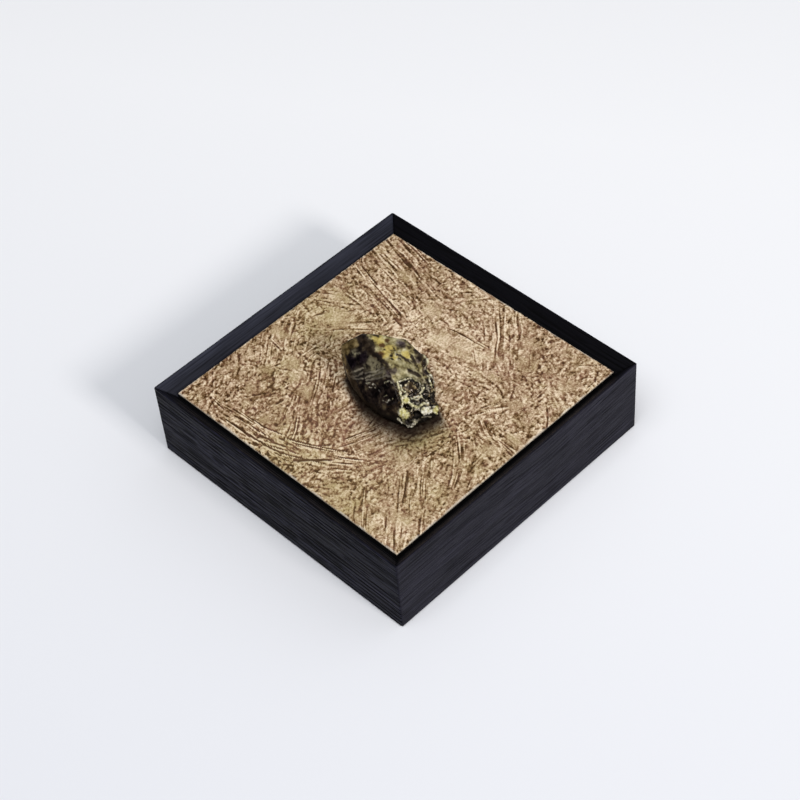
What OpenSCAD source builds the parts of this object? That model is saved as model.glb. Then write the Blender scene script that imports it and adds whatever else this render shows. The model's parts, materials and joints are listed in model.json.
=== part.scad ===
// Square wooden storage box with a lift-off lid and a polished stone knob.
// The origin is on the table under the middle of the box, and the front wall faces -Y.

/* [Frame] */
// Outside length of each side of the box
box_side = 200; // [160:1:260]
// Height of the four walls
wall_h = 53.4; // [48:0.1:80]
// Thickness of the walls
wall_t = 9; // [8:0.5:12]
// Width of the flat left on top of the rim
rim_flat = 0.8; // [0.4:0.1:2]
// Slope of the bevel inside the rim, from level
bevel_angle = 45; // [38:1:52]
// Radius on the upright corners of the frame
corner_r = 1.2; // [0.6:0.1:3]
// Chamfer on the long outside edges of the walls
arris = 0.4; // [0.2:0.1:0.8]

/* [Corner joints] */
// Thickness of the loose tongue in each mitre
tongue_t = 2.5; // [2:0.1:3]
// Width of the loose tongue, across the mitre
tongue_w = 8; // [6:0.5:9]
// Height of the loose tongue
tongue_h = 28; // [20:1:30]
// Wood left between the tongue slot and the base groove
tongue_over_groove = 3; // [2:0.5:6]
// Gap at each narrow edge of a tongue, for glue
tongue_gap = 0.2; // [0.1:0.05:0.4]

/* [Base] */
// Thickness of the base panel
base_t = 5; // [3:0.5:6]
// How far the base panel sits above the bottom edge of the walls
base_up = 3; // [2:0.5:5]
// How deep the base panel's groove is cut into the walls
groove_d = 4; // [3:0.5:5]
// Room left for the panel to move in its groove
groove_gap = 0.3; // [0.1:0.1:0.5]

/* [Feet] */
// Diameter of each foot where it meets the base panel
foot_d = 14; // [10:0.5:18]
// How much narrower each foot is where it meets the table
foot_taper = 2; // [1:0.5:4]
// How far the feet reach below the walls
foot_proud = 0.6; // [0.4:0.1:2]
// From the inside of a wall to the middle of a foot
foot_in = 14; // [11:0.5:24]

/* [Linings] */
// Thickness of the covered boards that line the walls
liner_t = 4; // [3:0.5:6]
// Thickness of the covered board on the base
floor_t = 2.5; // [1.5:0.5:4]
// Thickness of the flocked card under the lid
card_t = 1; // [0.6:0.1:1.5]
// Radius on the edges of the covered boards
liner_r = 1; // [0.5:0.1:1.2]
// Clearance round the covered board on the base
floor_gap = 0.3; // [0.2:0.1:1]
// How far the card under the lid stays back from the edge of the lid
card_in = 1; // [0.6:0.1:1.4]

/* [Lid] */
// Thickness of the lid board
board_t = 6; // [5:0.5:9]
// Thickness of the gilt plaster facing
facing_t = 1.5; // [1:0.1:2.5]
// Depth of the lid's face below the rim
lid_sink = 5.2; // [4:0.1:6.5]
// Clearance between the edge of the lid and the walls
lid_gap = 0.7; // [0.5:0.1:1.5]
// Chamfer on the edges of the lid's face
facing_ease = 0.5; // [0.2:0.1:0.8]

/* [Knob] */
// Length of the stone, front to back
stone_l = 71; // [56:1:84]
// Width of the stone
stone_w = 43; // [36:1:52]
// Height of the stone above the lid
stone_h = 28; // [22:0.5:34]
// Radius to which the stone's corners are polished
polish_r = 2; // [1.5:0.1:2.5]
// Outside diameter of the brass insert in the stone
insert_d = 6; // [5.5:0.1:7]
// Length of the brass insert
insert_l = 10; // [8:0.5:12]
// Glue gap round the insert
insert_gap = 0.15; // [0.1:0.05:0.3]

/* [Knob screw] */
// Diameter of the screw
screw_d = 4; // [3:0.1:4.5]
// Length of the screw under its head
screw_l = 12; // [10:0.5:14]
// Diameter of the screw's head
head_d = 7.6; // [6.5:0.1:8]
// Height of the screw's head
head_h = 2.4; // [1.8:0.1:3]
// Width of the hexagon socket, across its corners
socket_d = 2.9; // [2:0.1:3.4]
// Outside diameter of the washer
washer_d = 9; // [8.4:0.1:10]
// Thickness of the washer
washer_t = 0.8; // [0.5:0.1:1]
// Clearance of the screw in its thread
thread_gap = 0.1; // [0.05:0.05:0.2]
// Clearance of the screw in the lid, on each side
hole_gap = 0.25; // [0.15:0.05:0.5]
// Clearance round the washer in its counterbore
washer_gap = 0.5; // [0.3:0.1:1]
// Room between the screw's head and the card under the lid
head_gap = 0.2; // [0.1:0.1:0.6]

/* [Hidden] */

STAIN = "#2b2a30";
PLY = "#33302f";
FLOCK = "#3a3235";
GILT = "#a08869";
STONE = "#6a6238";
eps = 0.01;
fine = 64;

// Heights, from the table up
wall_z = foot_proud;
rim_z = wall_z + wall_h;
base_z = wall_z + base_up;
base_top = base_z + base_t;
floor_top = base_top + floor_t;
lid_top = rim_z - lid_sink;
board_top = lid_top - facing_t;
board_z = board_top - board_t;
lid_under = board_z - card_t;
bevel_drop = (wall_t - rim_flat) * tan(bevel_angle);

// Plan sizes
half = box_side / 2;
room_side = box_side - 2 * wall_t;
panel_side = room_side + 2 * (groove_d - groove_gap);
lid_side = room_side - 2 * lid_gap;
card_side = lid_side - 2 * card_in;
well_side = room_side - 2 * liner_t;
floor_side = well_side - 2 * floor_gap;
foot_at = room_side / 2 - foot_in;

// A tongue's middle lies on the mitre, a little nearer the inside of the frame
tongue_in = wall_t * 0.64;
tongue_z = base_top + tongue_over_groove;

// The screw stands under the middle of the lid
seat_t = washer_t + head_h + head_gap;
seat_r = washer_d / 2 + washer_gap;
hole_r = screw_d / 2 + hole_gap;
bore_depth = insert_l + 1;
socket_depth = head_h * 0.6;

// Corners of the polished stone, as shares of its width, length and height.
// The seat is drawn in under the sides, and the crown is highest at the back.
STONE_CROWN = [
    [-0.06, 0.30, 0.91], [0.12, 0.18, 0.86], [0.29, 0.04, 0.76],
    [0.31, -0.13, 0.59], [0.25, -0.26, 0.39], [0.02, -0.39, 0.29],
    [-0.20, 0.04, 0.88], [-0.29, -0.17, 0.80], [-0.43, -0.32, 0.55]
];
STONE_SIDE = [
    [-0.28, 0.39, 0.71], [-0.34, 0.36, 0.46], [-0.38, 0.30, 0.15],
    [-0.50, 0.14, 0.24], [-0.59, -0.05, 0.22], [-0.58, -0.21, 0.18],
    [-0.52, -0.35, 0.15], [-0.46, -0.45, 0.13], [-0.12, -0.53, 0.16]
];
STONE_SEAT = [
    [-0.28, 0.28], [-0.40, 0.08], [-0.42, -0.14], [-0.38, -0.38], [-0.18, -0.45],
    [0.09, -0.28], [0.21, -0.06], [0.16, 0.17], [0, 0.31]
];
// Point inside the stone that its lumps and hollows are turned away from, as shares
STONE_CORE = [-0.15, -0.20, 0.25];
// Round forms of the low end: place as shares, ball radius, then rise of a lump or, below 0, depth of a hollow
STONE_FORMS = [
    [-0.20, -0.32, 0.61, 11, 1.3], [-0.48, -0.41, 0.33, 4.6, 0.8], [-0.22, -0.50, 0.29, 5.2, 1.2],
    [-0.49, -0.47, 0.19, 4.2, 0.5], [-0.10, -0.53, 0.21, 3.8, 0.7], [0.19, -0.33, 0.40, 4.2, 0.7],
    [0.07, -0.38, 0.38, 4.4, 0.6],
    [-0.41, -0.40, 0.46, 3.0, -1.2], [-0.35, -0.47, 0.28, 2.7, -1.8], [0.26, -0.25, 0.49, 4.8, -1.5],
    [-0.06, -0.44, 0.35, 2.7, -1]
];

// Flat plate with chamfered top edges, made by two crossed profiles
module eased_plate(side, t, ease) {
    intersection() {
        for (turn = [0, 90]) rotate([0, 0, turn])
            rotate([90, 0, 0]) translate([0, 0, -side / 2]) linear_extrude(side)
                polygon([
                    [-side / 2, 0], [side / 2, 0], [side / 2, t - ease],
                    [side / 2 - ease, t], [-side / 2 + ease, t], [-side / 2, t - ease]
                ]);
    }
}

// Section with a flat foot and two rounded upper corners
module covered_section(w, h, r) {
    translate([-w / 2, 0]) square([w, h - r]);
    translate([-w / 2 + r, 0]) square([w - 2 * r, h]);
    for (side = [-1, 1]) translate([side * (w / 2 - r), h - r]) circle(r, $fn = fine);
}

module at_corner(turn) {
    rotate([0, 0, turn]) translate([-half + tongue_in, -half + tongue_in, tongue_z])
        rotate([0, 0, -45]) children();
}

module tongue_block(w) {
    translate([-w / 2, -tongue_t / 2, 0]) cube([w, tongue_t, tongue_h]);
}

// Section of a wall: x runs in from the outside face, y is the height
module wall_section() {
    groove_x = wall_t - groove_d;
    polygon([
        [arris, wall_z], [wall_t, wall_z],
        [wall_t, base_z], [groove_x, base_z], [groove_x, base_top], [wall_t, base_top],
        [wall_t, rim_z - bevel_drop], [rim_flat, rim_z],
        [arris * 0.6, rim_z], [0, rim_z - arris * 0.6], [0, wall_z + arris]
    ]);
}

// Plan of the whole frame, with its upright corners rounded
module frame_plan() {
    for (turn = [0, 90]) rotate([0, 0, turn])
        square([box_side, box_side - 2 * corner_r], center = true);
    for (turn = [0:90:270]) rotate([0, 0, turn])
        translate([half - corner_r, half - corner_r]) circle(corner_r, $fn = fine);
}

// One wall with both ends mitred, drawn at the front and turned into place
module wall(turn) {
    color(STAIN) rotate([0, 0, turn]) difference() {
        intersection() {
            translate([-half, -half, 0]) rotate([90, 0, 90]) linear_extrude(box_side) wall_section();
            linear_extrude(rim_z + 1) intersection() {
                polygon([[-half, -half], [half, -half], [0, 0]]);
                frame_plan();
            }
        }
        for (end = [0, 90]) at_corner(end) tongue_block(tongue_w);
    }
}

// Loose tongue across one mitre, hidden once the frame is glued up
module tongue(turn) {
    color(PLY) at_corner(turn) tongue_block(tongue_w - 2 * tongue_gap);
}

module base_panel() {
    color(PLY) translate([-panel_side / 2, -panel_side / 2, base_z]) cube([panel_side, panel_side, base_t]);
}

// Tapered rubber bumper glued under the base panel
module foot(turn) {
    color("#1c1c1c") rotate([0, 0, turn]) translate([-foot_at, -foot_at, 0])
        cylinder(d1 = foot_d - foot_taper, d2 = foot_d, h = base_z, $fn = fine);
}

// Covered board that stands inside one wall and carries the lid on its top edge
module liner(turn, length) {
    color(FLOCK) rotate([0, 0, turn])
        translate([-length / 2, -room_side / 2 + liner_t / 2, base_top])
            rotate([90, 0, 90]) linear_extrude(length)
                covered_section(liner_t, lid_under - base_top, liner_r);
}

module floor_lining() {
    color(FLOCK) translate([0, 0, base_top]) intersection() {
        for (turn = [0, 90]) rotate([0, 0, turn])
            rotate([90, 0, 90]) translate([0, 0, -floor_side / 2]) linear_extrude(floor_side)
                covered_section(floor_side, floor_t, liner_r);
    }
}

// Board with a hole for the knob's screw, counterbored from below
module lid_board() {
    color(STAIN) difference() {
        translate([-lid_side / 2, -lid_side / 2, board_z]) cube([lid_side, lid_side, board_t]);
        translate([0, 0, board_z - eps]) cylinder(r = hole_r, h = board_t + 2 * eps, $fn = fine);
        translate([0, 0, board_z - eps]) cylinder(r = seat_r, h = seat_t + eps, $fn = fine);
    }
}

module lid_facing() {
    color(GILT) difference() {
        translate([0, 0, board_top]) eased_plate(lid_side, facing_t, facing_ease);
        translate([0, 0, board_top - eps]) cylinder(r = hole_r, h = facing_t + 2 * eps, $fn = fine);
    }
}

module lid_lining() {
    color(FLOCK) translate([-card_side / 2, -card_side / 2, lid_under]) cube([card_side, card_side, card_t]);
}

function in_stone(p) = [p[0] * stone_w, p[1] * stone_l, p[2] * stone_h];
function away_from_core(p) = let (d = in_stone(p) - in_stone(STONE_CORE)) d / norm(d);

// Ball whose cap rises from the stone's surface, or bites into it where its rise is below 0
module round_form(form) {
    translate(in_stone(form) + away_from_core(form) * sign(form[4]) * (abs(form[4]) - form[3]))
        sphere(form[3], $fn = 32);
}

// Body of the nugget before it is hollowed: a rounded faceted hull with its lumps
module lumpy_body() {
    hull() {
        for (p = concat(STONE_CROWN, STONE_SIDE))
            translate(in_stone(p)) sphere(polish_r, $fn = 20);
        for (p = STONE_SEAT)
            translate([p[0] * stone_w, p[1] * stone_l, 0]) cylinder(r = polish_r, h = 1, $fn = 20);
    }
    for (form = STONE_FORMS) if (form[4] > 0) round_form(form);
}

// Polished nugget, ground flat underneath, with lumps and hollows on its low end
module knob_stone() {
    color(STONE) translate([0, 0, lid_top]) difference() {
        intersection() {
            lumpy_body();
            translate([-stone_l, -stone_l, 0]) cube([2 * stone_l, 2 * stone_l, 2 * stone_h]);
        }
        for (form = STONE_FORMS) if (form[4] < 0) round_form(form);
        translate([0, 0, -eps]) cylinder(r = insert_d / 2 + insert_gap, h = bore_depth + eps, $fn = fine);
    }
}

// Brass insert with two grip grooves, glued into the stone
module knob_insert() {
    r = insert_d / 2;
    bore = screw_d / 2 + thread_gap;
    groove = r - 0.4;
    color("#b5954a") translate([0, 0, lid_top]) rotate_extrude($fn = fine)
        polygon([
            [bore, 0], [r, 0],
            [r, insert_l * 0.25], [groove, insert_l * 0.3], [groove, insert_l * 0.4], [r, insert_l * 0.45],
            [r, insert_l * 0.6], [groove, insert_l * 0.65], [groove, insert_l * 0.75], [r, insert_l * 0.8],
            [r, insert_l], [bore, insert_l]
        ]);
}

// Screw that comes up through the lid, with its head in the counterbore
module knob_screw() {
    under_head = board_z + seat_t - washer_t;
    color("#9a9a9c") translate([0, 0, under_head]) difference() {
        union() {
            cylinder(d = screw_d, h = screw_l, $fn = fine);
            translate([0, 0, -head_h]) cylinder(d1 = head_d - 0.8, d2 = head_d, h = head_h, $fn = fine);
        }
        translate([0, 0, -head_h - eps]) cylinder(d = socket_d, h = socket_depth + eps, $fn = 6);
    }
}

module knob_washer() {
    color("#9a9a9c") translate([0, 0, board_z + seat_t - washer_t]) difference() {
        cylinder(d = washer_d, h = washer_t, $fn = fine);
        translate([0, 0, -eps]) cylinder(r = hole_r, h = washer_t + 2 * eps, $fn = fine);
    }
}

wall(0);  // wall_front
wall(90);  // wall_right
wall(180);  // wall_back
wall(270);  // wall_left
tongue(0);  // tongue_front_left
tongue(90);  // tongue_front_right
tongue(180);  // tongue_back_right
tongue(270);  // tongue_back_left
base_panel();
foot(0);  // foot_front_left
foot(90);  // foot_front_right
foot(180);  // foot_back_right
foot(270);  // foot_back_left
liner(0, room_side);  // liner_front
liner(90, well_side);  // liner_right
liner(180, room_side);  // liner_back
liner(270, well_side);  // liner_left
floor_lining();
lid_board();
lid_facing();
lid_lining();
knob_stone();
knob_insert();
knob_screw();
knob_washer();
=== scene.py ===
import functools
import itertools
import json
import math

import bmesh
import bpy
import numpy as np
from mathutils import Matrix, Vector
from mathutils.geometry import convex_hull_2d


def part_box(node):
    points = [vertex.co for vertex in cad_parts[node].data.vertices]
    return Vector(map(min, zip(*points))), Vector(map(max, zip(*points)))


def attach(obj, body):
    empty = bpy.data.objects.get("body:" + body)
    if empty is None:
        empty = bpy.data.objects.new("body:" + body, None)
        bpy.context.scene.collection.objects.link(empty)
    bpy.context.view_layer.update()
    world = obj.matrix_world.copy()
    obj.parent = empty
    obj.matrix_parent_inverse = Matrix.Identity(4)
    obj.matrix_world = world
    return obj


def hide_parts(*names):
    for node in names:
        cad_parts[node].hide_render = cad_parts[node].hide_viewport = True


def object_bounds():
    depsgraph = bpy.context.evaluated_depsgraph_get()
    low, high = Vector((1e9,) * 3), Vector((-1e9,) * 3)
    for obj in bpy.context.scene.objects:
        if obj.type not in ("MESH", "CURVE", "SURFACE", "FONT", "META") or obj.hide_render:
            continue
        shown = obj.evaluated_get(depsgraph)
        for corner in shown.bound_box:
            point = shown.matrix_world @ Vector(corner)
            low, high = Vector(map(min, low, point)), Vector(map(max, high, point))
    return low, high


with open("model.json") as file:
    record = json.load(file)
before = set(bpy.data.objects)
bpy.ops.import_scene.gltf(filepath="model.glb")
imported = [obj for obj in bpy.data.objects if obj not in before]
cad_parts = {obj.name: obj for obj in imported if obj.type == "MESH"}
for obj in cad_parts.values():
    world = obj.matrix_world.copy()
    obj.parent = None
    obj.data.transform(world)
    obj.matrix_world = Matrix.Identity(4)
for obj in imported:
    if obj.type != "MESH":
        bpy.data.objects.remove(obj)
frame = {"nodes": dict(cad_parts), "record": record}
cad_low, cad_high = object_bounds()

# Lengths are in millimetres here, and MM turns them into Blender's metres.
MM = 0.001

# Sizes that the construction fixes
wall_low, wall_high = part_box("wall_front")
facing_low, facing_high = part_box("lid_facing")
HALF = (cad_high.x - cad_low.x) / 2 / MM
WALL_Z = wall_low.z / MM
RIM_Z = wall_high.z / MM
WALL_T = (wall_high.y - wall_low.y) / MM
LID_SIDE = (facing_high.x - facing_low.x) / MM
LID_TOP = facing_high.z / MM
FACING_Z = facing_low.z / MM

# Numpy noise, the same on every run: a hash of whole numbers, whose bits are mixed by shifts and factors

WORD = 0xFFFFFFFF
PRIMES = (73856093, 19349663, 83492791)
SEED_PRIME = 2654435761
MIXES = ((15, 2246822519), (13, 3266489917), (16, 1))


def lattice(ix, iy, iz, seed):
    """An even random number from 0 to 1 for each lattice point."""
    h = np.uint64(seed * SEED_PRIME & WORD)
    for i, prime in zip((ix, iy, iz), PRIMES):
        h = h ^ (i.astype(np.uint64) * np.uint64(prime))
    h = h & np.uint64(WORD)
    for shift, factor in MIXES:
        h = ((h ^ (h >> np.uint64(shift))) * np.uint64(factor)) & np.uint64(WORD)
    return h.astype(np.float64) / (WORD + 1)


def noise(seed, x, y, z=0.0):
    """Smooth value noise from -1 to 1, with waves about 1 long."""
    places = np.stack(np.broadcast_arrays(*(np.asarray(c, dtype=float) + 1000 for c in (x, y, z))))
    ix, iy, iz = cells = np.floor(places).astype(np.int64)
    ux, uy, uz = smooth(0, 1, places - cells)
    total = np.zeros(ux.shape)
    for dz, dy, dx in itertools.product((0, 1) if np.any(uz) else (0,), (0, 1), (0, 1)):
        weight = (ux if dx else 1 - ux) * (uy if dy else 1 - uy) * (uz if dz else 1 - uz)
        total += weight * lattice(ix + dx, iy + dy, iz + dz, seed)
    return total * 2 - 1


def fbm(seed, x, y, z=0.0, octaves=3):
    """Several octaves of noise, each half as strong as the last, about -1 to 1."""
    total, size, scale = 0.0, 1.0, 1.0
    for k in range(octaves):
        total = total + size * noise(seed + k, x * scale + 17.3 * k, y * scale - 9.1 * k, z * scale)
        size, scale = size / 2, scale * 2.03
    return total / (2 - 2 * 0.5**octaves)


def smooth(a, b, x):
    """0 below a, 1 above b, and a smooth step between."""
    t = np.clip((np.asarray(x) - a) / (b - a), 0, 1)
    return t * t * (3 - 2 * t)


# Meshes and materials


def placed(name, data):
    """A new object in the scene."""
    obj = bpy.data.objects.new(name, data)
    bpy.context.scene.collection.objects.link(obj)
    return obj


def piece(name, verts, faces, body, attributes, material):
    """A smooth mesh in metres, from vertices in millimetres, that rides on a body in place of its node."""
    mesh = bpy.data.meshes.new(name)
    mesh.from_pydata((verts * MM).tolist(), [], faces)
    mesh.validate()
    mesh.update()
    for key, values in attributes.items():
        kind, field = ("FLOAT", "value") if values.size == len(verts) else ("FLOAT_VECTOR", "vector")
        values = values.astype(np.float32).ravel()
        mesh.attributes.new(key, kind, "POINT").data.foreach_set(field, values)
    mesh.polygons.foreach_set("use_smooth", [True] * len(mesh.polygons))
    mesh.materials.append(material)
    obj = placed(name, mesh)
    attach(obj, body)
    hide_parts(name)
    return obj


def grid_faces(rows, columns):
    """Quads of a grid whose vertices run row by row."""
    r, c = np.mgrid[0 : rows - 1, 0 : columns - 1]
    a = r * columns + c
    return np.stack([a, a + 1, a + columns + 1, a + columns], -1).reshape(-1, 4)


def rgba(value):
    """Linear colour with alpha, from sRGB numbers of 0 to 255 or one linear grey; a linear one stays."""
    if isinstance(value, (int, float)):
        return (value, value, value, 1)
    if len(value) == 4:
        return value
    return (*((c / 255 / 12.92) if c <= 10 else ((c / 255 + 0.055) / 1.055) ** 2.4 for c in value), 1)


class Nodes:
    """Short hand for building the node tree of a material or a world."""

    def __init__(self, name, blocks=bpy.data.materials, shader="Principled BSDF"):
        self.block = blocks.new(name)
        self.block.use_nodes = True
        self.tree = self.block.node_tree
        self.shader = self.tree.nodes[shader]

    def give(self, target, value):
        """Links a socket to an input, or sets the input."""
        if isinstance(value, bpy.types.NodeSocket):
            self.tree.links.new(value, target)
        else:
            target.default_value = value

    def node(self, kind, **settings):
        n = self.tree.nodes.new("ShaderNode" + kind)
        for key, value in settings.items():
            if key in n.inputs:
                self.give(n.inputs[key], value)
            else:
                setattr(n, key, value)
        return n

    def attribute(self, name, output="Fac"):
        return self.node("Attribute", attribute_name=name).outputs[output]

    def coordinates(self, output="Object"):
        return self.node("TexCoord").outputs[output]

    def noise(self, vector, scale=1.0, detail=3.0, roughness=0.6, distortion=0.0):
        settings = {"Scale": scale, "Detail": detail, "Roughness": roughness, "Distortion": distortion}
        return self.node("TexNoise", Vector=vector, **settings).outputs["Fac"]

    def mapped(self, vector, scale):
        return self.node("Mapping", Vector=vector, Scale=scale).outputs["Vector"]

    def math(self, operation, a, b, clamp=False):
        n = self.node("Math", operation=operation, use_clamp=clamp)
        self.give(n.inputs[0], a)
        self.give(n.inputs[1], b)
        return n.outputs["Value"]

    def weighed(self, *terms):
        """Sum of the values, each times its weight."""
        parts = [self.math("MULTIPLY", value, weight) for value, weight in terms]
        return functools.reduce(lambda total, part: self.math("ADD", total, part), parts)

    def ramp(self, factor, stops):
        """Colours, or greys, between the stops of {position: colour}."""
        n = self.node("ValToRGB", Fac=factor)
        elements = n.color_ramp.elements
        while len(elements) < len(stops):
            elements.new(1.0)
        for element, (position, value) in zip(elements, stops.items()):
            element.position, element.color = position, rgba(value)
        return n.outputs["Color"]

    def mix(self, factor, a, b, blend="MIX"):
        n = self.node("Mix", data_type="RGBA", blend_type=blend)
        for k, value in ((0, factor), (6, a), (7, b)):
            self.give(n.inputs[k], rgba(value) if isinstance(value, tuple) else value)
        return n.outputs[2]

    def bump(self, height, strength, reach):
        """Normals of a relief that reaches so many millimetres."""
        return self.node("Bump", Height=height, Strength=strength, Distance=reach * MM).outputs["Normal"]

    def feed(self, **sockets):
        """Links or sets the shader's sockets, such as Roughness or Base_Color."""
        for key, value in sockets.items():
            self.give(self.shader.inputs[key.replace("_", " ")], value)


# Black-stained open-grained wood


def wood_material(name, dark, light):
    """Stain lies dark in the open pores and thin on the hard lines between them."""
    m = Nodes(name)
    grain = m.attribute("grain", "Vector")
    rings = m.noise(m.mapped(grain, (7, 520, 520)))
    hairs = m.noise(m.mapped(grain, (26, 2100, 2100)), detail=2.0)
    streaks = m.noise(m.mapped(grain, (9, 150, 150)))
    dashes = m.noise(m.mapped(grain, (130, 1300, 1300)), detail=2.0)
    tone = m.weighed((rings, 0.33), (streaks, 0.22), (dashes, 0.45))
    tone = m.math("ADD", m.math("MULTIPLY", m.math("SUBTRACT", tone, 0.5), m.attribute("streaky")), 0.5)
    # The stain's colour is multiplied by each wall's painted light and shade and by the stain's own
    # unevenness
    colour = m.mix(1.0, m.ramp(tone, {0.32: dark, 0.68: light}), m.attribute("light_and_stain"), "MULTIPLY")
    open_pore = m.math("MULTIPLY", m.ramp(hairs, {0.36: 1.0, 0.52: 0.0}), 0.6)
    open_pore = m.math("ADD", open_pore, m.attribute("pore"), True)
    height = m.weighed((rings, 0.4), (open_pore, -0.8))
    m.feed(
        Base_Color=m.mix(open_pore, colour, (2, 2, 3)), Roughness=m.ramp(open_pore, {0.0: 0.5, 1.0: 0.9}),
        Normal=m.bump(height, 0.6, 0.12), Specular_IOR_Level=0.09,
    )
    return m.block


# The frame's four walls

RIM_FLAT = 0.8
BEVEL_DROP = WALL_T - RIM_FLAT
CORNER_R = 1.2
EDGE_R = 0.5
RIM_R = 0.35
GROOVE_D = 4.0
BASE_Z, BASE_TOP = (corner.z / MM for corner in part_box("base_panel"))
# Distances between the points of a wall's section, and how many points round each eased edge
BOTTOM_STEP = 1.5
FACE_STEP = 0.25
BEVEL_STEP = 0.35
INSIDE_STEP = 4
ROUND_POINTS = 4
# Columns of points along a wall, and those that turn its corner
WALL_COLUMNS = 127
CORNER_COLUMNS = 5
PORE_DEPTH = 0.16
YEAR = 3.3
# Middle, half width and lift of the arch that the year rings make, and how far up it is full
ARCH = (20, 42, 7.0, 34)
# Depths in from the outside at which the outside's painted light and shade goes over to the bevel's, and to
# that of the bevel's foot
ON_BEVEL = (0.2, 1.2)
AT_FOOT = (1.5, 6.5)
BEVEL_STREAKS = 0.25
UNEVEN = 0.35
# Millimetres of grain between one wall's wood and the next seed's
GRAIN_APART = 300
# Metres within which points are welded
WELD = 1e-7


def run(a, b, step):
    """Points from a towards b, without b, about a step apart."""
    a, b = np.array((a, b), dtype=float)
    count = max(1, round(np.linalg.norm(b - a) / step))
    return [tuple(a + (b - a) * k / count) for k in range(count)]


def quarter(centre, radius, start, end):
    """Points of an arc from one angle to another, without its last point."""
    angles = np.radians(np.linspace(start, end, ROUND_POINTS, endpoint=False))
    return [(centre[0] + radius * math.cos(a), centre[1] + radius * math.sin(a)) for a in angles]


def wall_section():
    """Section of a wall as (depth in from the outside face, height), from the bottom edge up the outside."""
    foot = (WALL_T, RIM_Z - BEVEL_DROP)
    groove = WALL_T - GROOVE_D
    points = run((WALL_T, WALL_Z), (EDGE_R, WALL_Z), BOTTOM_STEP)
    points += quarter((EDGE_R, WALL_Z + EDGE_R), EDGE_R, 270, 180)
    points += run((0, WALL_Z + EDGE_R), (0, RIM_Z - RIM_R), FACE_STEP)
    points += quarter((RIM_R, RIM_Z - RIM_R), RIM_R, 180, 90)
    points += run((RIM_R, RIM_Z), (RIM_FLAT, RIM_Z), FACE_STEP)
    points += run((RIM_FLAT, RIM_Z), foot, BEVEL_STEP)
    points += run(foot, (WALL_T, BASE_TOP), INSIDE_STEP)
    points += [(WALL_T, BASE_TOP), (groove, BASE_TOP), (groove, BASE_Z), (WALL_T, BASE_Z)]
    return np.array(points)


def grain_pores(x, v, seed, figure, strength):
    """Openness of the grain from 0 to 1: x runs along the wall, v across the grain, in millimetres."""
    middle, half_width, lift, full = ARCH
    arch = figure * lift * np.exp(-(((x - middle) / half_width) ** 2)) * smooth(0, full, v)
    ring = v + 1.1 * fbm(seed, x / 80, v / 22) + arch
    year = 0.5 + 0.5 * np.sin(2 * np.pi * (ring / YEAR + 0.25 * noise(seed + 5, 0 * x, ring / 9)))
    early = smooth(0.45, 0.9, year) * smooth(-0.8, 0.2, noise(seed + 3, x / 60, ring / 5))
    lines = smooth(0.0, 0.6, noise(seed + 2, x / 26, ring / 0.75))
    faint = smooth(0.1, 0.6, noise(seed + 7, x / 12, ring / 0.7))
    return strength * np.clip(early * (0.3 + 0.7 * lines) + 0.6 * faint, 0, 1)


def swept(section):
    """Grid of a wall's surface, row by row along its section: x along the wall, y, z, and the way round v."""
    turns = np.radians(np.linspace(0, 45, CORNER_COLUMNS))[1:]
    bend = np.concatenate([-turns[::-1], np.zeros(WALL_COLUMNS), turns])
    along = np.pad(np.linspace(-1, 1, WALL_COLUMNS), len(turns), mode="edge")
    depth, height = section.T[..., None]
    radius = np.maximum(CORNER_R - depth, 0)
    x = (HALF - np.maximum(CORNER_R, depth)) * along + radius * np.sin(bend)
    y = -HALF + depth + radius * (1 - np.cos(bend))
    lengths = np.hypot(*np.diff(section, axis=0).T)
    v = np.concatenate([[0], np.cumsum(lengths)])[:, None] + 0 * x
    return x, y, np.repeat(height, x.shape[1], 1), v


def wall(name, turn, seed, figure, strength, streaky, outer_light, bevel_light, foot, material):
    """One mitred wall: the section is swept along the wall and round the corner's small radius."""
    section = wall_section()
    depth, height = section.T[..., None]
    x, y, z, v = swept(section)
    pore = grain_pores(x, v, seed, figure, strength)
    tangent = np.roll(section, -1, 0) - np.roll(section, 1, 0)
    across, upward = (tangent / np.linalg.norm(tangent, axis=1)[:, None]).T[..., None]
    seen = PORE_DEPTH * smooth(0.1, 1.2, height - WALL_Z)
    y = y + upward * pore * seen
    z = z - across * pore * seen
    # Painted light and shade: the outside and the bevel are painted lighter or darker for how they face the
    # lamps, and the near bevels darker at the foot where shade falls; the stain's own unevenness comes on top
    light_and_stain = outer_light + (bevel_light - outer_light) * smooth(*ON_BEVEL, depth)
    light_and_stain = light_and_stain + (foot - light_and_stain) * smooth(*AT_FOOT, depth) + 0 * x
    light_and_stain = light_and_stain * (1 + UNEVEN * fbm(seed + 9, x / 26, v / 7))
    streaky = streaky + (BEVEL_STREAKS - streaky) * smooth(*ON_BEVEL, depth) + 0 * x
    rows, columns = x.shape
    faces = grid_faces(rows, columns).tolist()
    last = (rows - 1) * columns
    faces += [(last + c, last + c + 1, c + 1, c) for c in range(columns - 1)]
    faces.append([r * columns for r in range(rows)])
    faces.append([r * columns + columns - 1 for r in reversed(range(rows))])
    grain = np.stack([x + seed * GRAIN_APART, v, depth + 0 * x], -1) * MM
    attributes = {"grain": grain, "pore": pore, "light_and_stain": light_and_stain, "streaky": streaky}
    cos, sin = np.cos(np.radians(turn)), np.sin(np.radians(turn))
    verts = np.stack([x * cos - y * sin, x * sin + y * cos, z], -1).reshape(-1, 3)
    mesh = piece(name, verts, faces, "box", attributes, material).data
    welded = bmesh.new()
    welded.from_mesh(mesh)
    bmesh.ops.remove_doubles(welded, verts=welded.verts, dist=WELD)
    bmesh.ops.recalc_face_normals(welded, faces=welded.faces)
    welded.to_mesh(mesh)
    welded.free()


stain = wood_material("stained_oak", (11, 10, 15), (28, 27, 37))
cool_stain = wood_material("stained_oak_cool", (10, 11, 14), (25, 26, 34))
blue_stain = wood_material("stained_oak_blue", (10, 10, 16), (26, 26, 40))
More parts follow.
